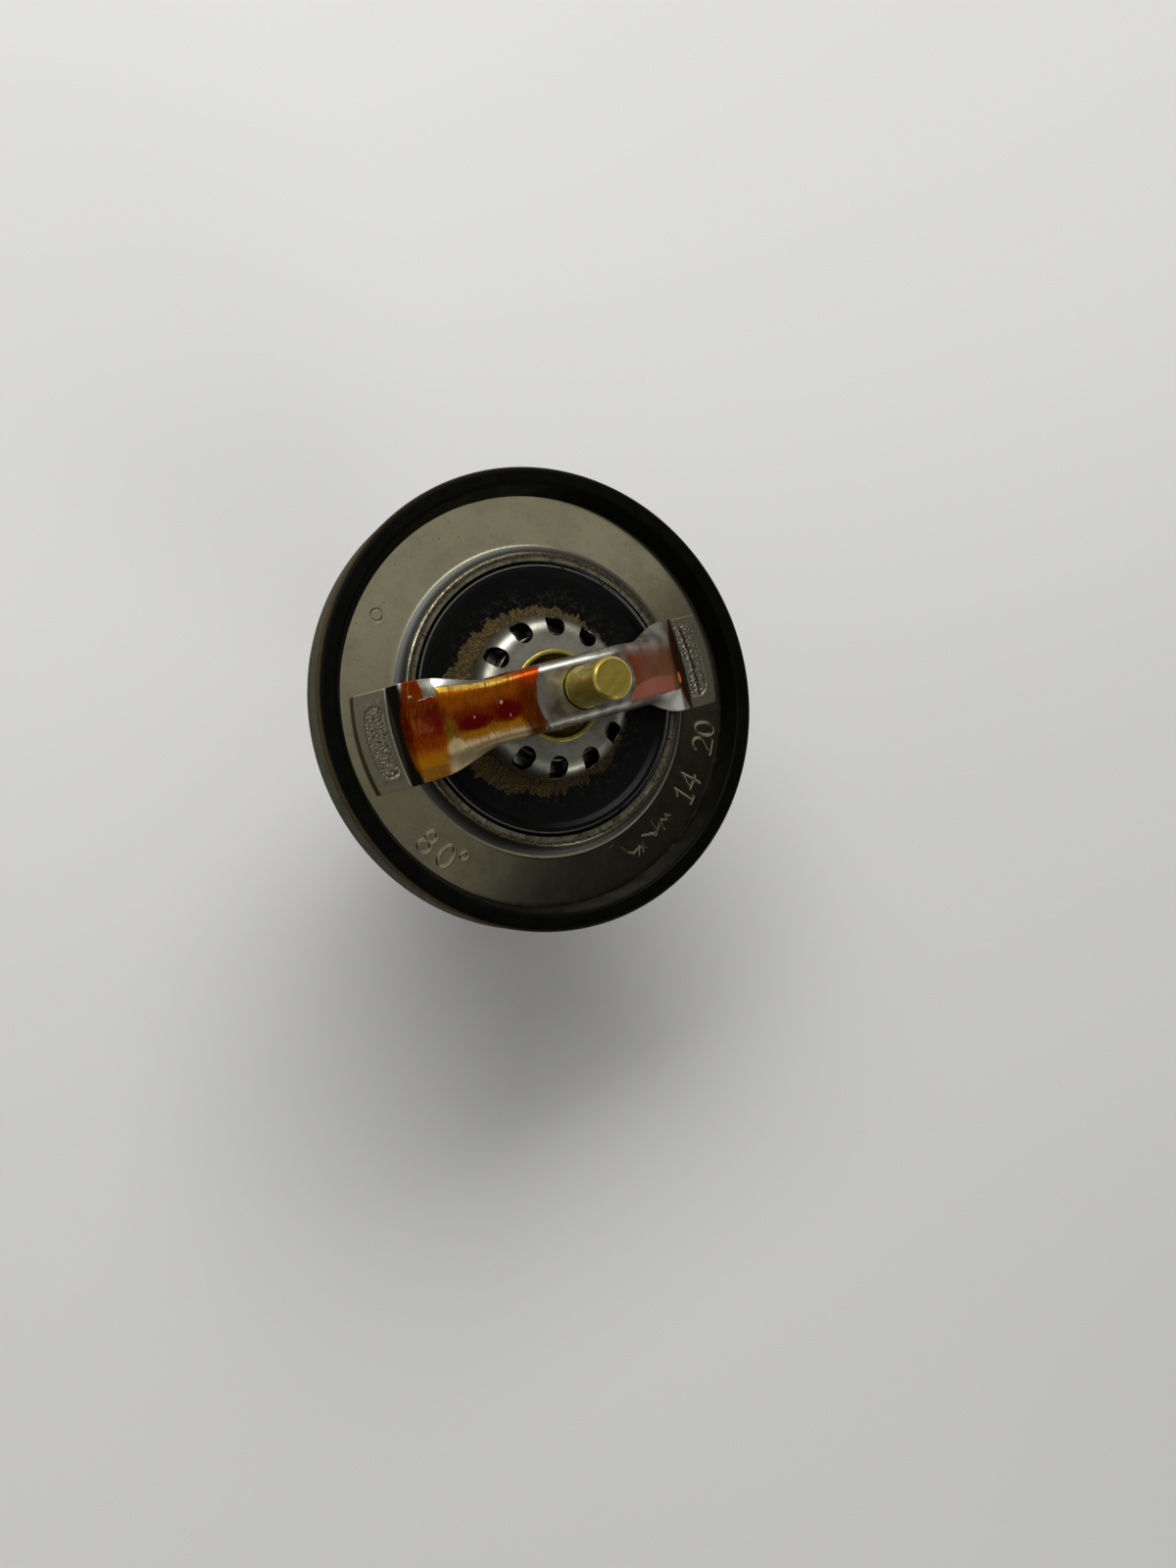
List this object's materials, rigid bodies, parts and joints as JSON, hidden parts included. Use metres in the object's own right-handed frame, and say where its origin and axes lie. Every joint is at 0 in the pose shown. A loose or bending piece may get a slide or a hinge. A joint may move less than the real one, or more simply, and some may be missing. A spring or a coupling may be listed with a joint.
{
  "type": "engine coolant thermostat",
  "caption": "Coolant thermostat: rubber-edged flange under an arched bridge, wax element with valve disc and perforated cap, sprung bypass disc below.",
  "frame": {"origin": "on the axis, in the front face of the flange, inside the seal ring's outer wall", "axes": "+Z along the axis, out through the bridge; X along the bridge; the bypass disc is the lowest piece"},
  "size_m": [0.0678, 0.0678, 0.0711],
  "materials": {
    "stainless": "satin stainless sheet, finely scratched, with amber varnish runs on the bridge",
    "dark_stainless": "darkened stainless with a dry brown deposit round the cap",
    "seal_rubber": "matt black moulded rubber",
    "brass": "turned brass, dulled",
    "ground_steel": "ground steel",
    "spring_steel": "drawn spring wire",
    "white_plastic": "white fluoroplastic",
    "boot_rubber": "soft black rubber",
    "wax": "wax filled with copper powder"
  },
  "bodies": {
    "housing": {"seal_ring": "seal_rubber", "flange": "stainless", "bridge": "stainless", "lower_frame": "stainless", "piston_sleeve": "brass", "piston": "ground_steel", "main_spring": "spring_steel"},
    "valve": {"valve_disc": "dark_stainless", "perforated_cap": "stainless", "element_collar": "brass", "wax_cup": "brass", "rubber_boot": "boot_rubber", "wax_charge": "wax", "backup_washer": "white_plastic", "relief_spring": "spring_steel", "bypass_stem": "ground_steel", "bypass_spring": "spring_steel", "thrust_washer": "ground_steel", "retaining_clip": "spring_steel"},
    "relief": {"relief_plate": "ground_steel"},
    "bypass": {"bypass_disc": "stainless"}
  },
  "joints": [
    {"name": "valve_slide", "type": "slide", "parent": "housing", "child": "valve", "axis": [0, 0, -1], "range_m": [0, 0.009], "stiffness_N_per_m": 3000, "springref_m": -0.01, "deforming": ["main_spring"]},
    {"name": "bypass_slide", "type": "slide", "parent": "valve", "child": "bypass", "axis": [0, 0, 1], "range_m": [0, 0.006], "stiffness_N_per_m": 800, "springref_m": -0.006, "deforming": ["bypass_spring"]},
    {"name": "relief_slide", "type": "slide", "parent": "valve", "child": "relief", "axis": [0, 0, 1], "range_m": [0, 0.0008], "stiffness_N_per_m": 100, "springref_m": -0.0008, "deforming": ["relief_spring"]}
  ]
}
